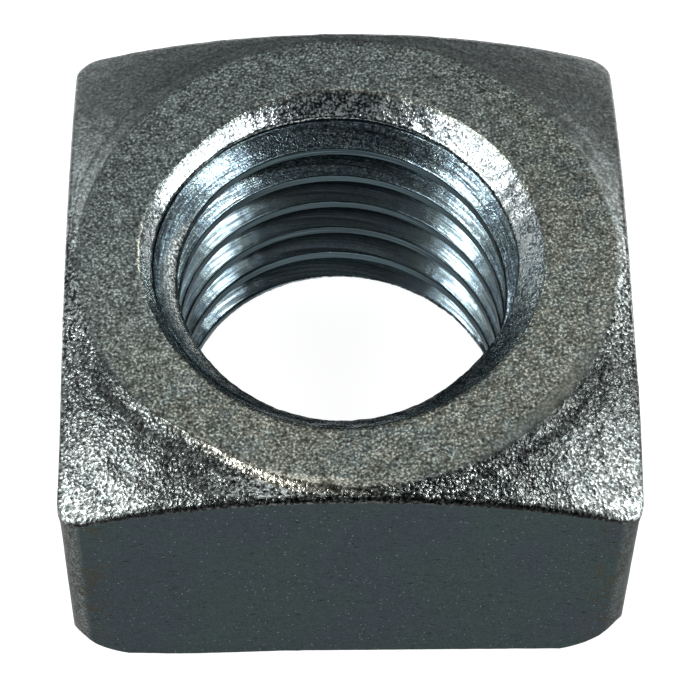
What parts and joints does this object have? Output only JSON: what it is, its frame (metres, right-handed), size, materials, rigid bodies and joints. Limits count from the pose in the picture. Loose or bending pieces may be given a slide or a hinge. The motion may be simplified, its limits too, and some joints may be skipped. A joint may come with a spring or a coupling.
{
  "type": "square nut",
  "caption": "Square forged steel nut with a bevelled top, rounded foot corners and a countersunk hole with a coarse right-hand thread.",
  "frame": {"origin": "centre of the square at the foot, the flat face that the nut rests on", "axes": "+Z along the hole, from the foot to the bevelled top; +X and +Y square to the flats"},
  "size_m": [0.0334, 0.0334, 0.0188],
  "materials": {
    "zinc_plated_steel": "dull grey zinc plate over forged steel: fine grain on top, smoother slate sides, brighter brushed thread flanks"
  },
  "bodies": {
    "root": {"square_nut": "zinc_plated_steel"}
  },
  "joints": []
}
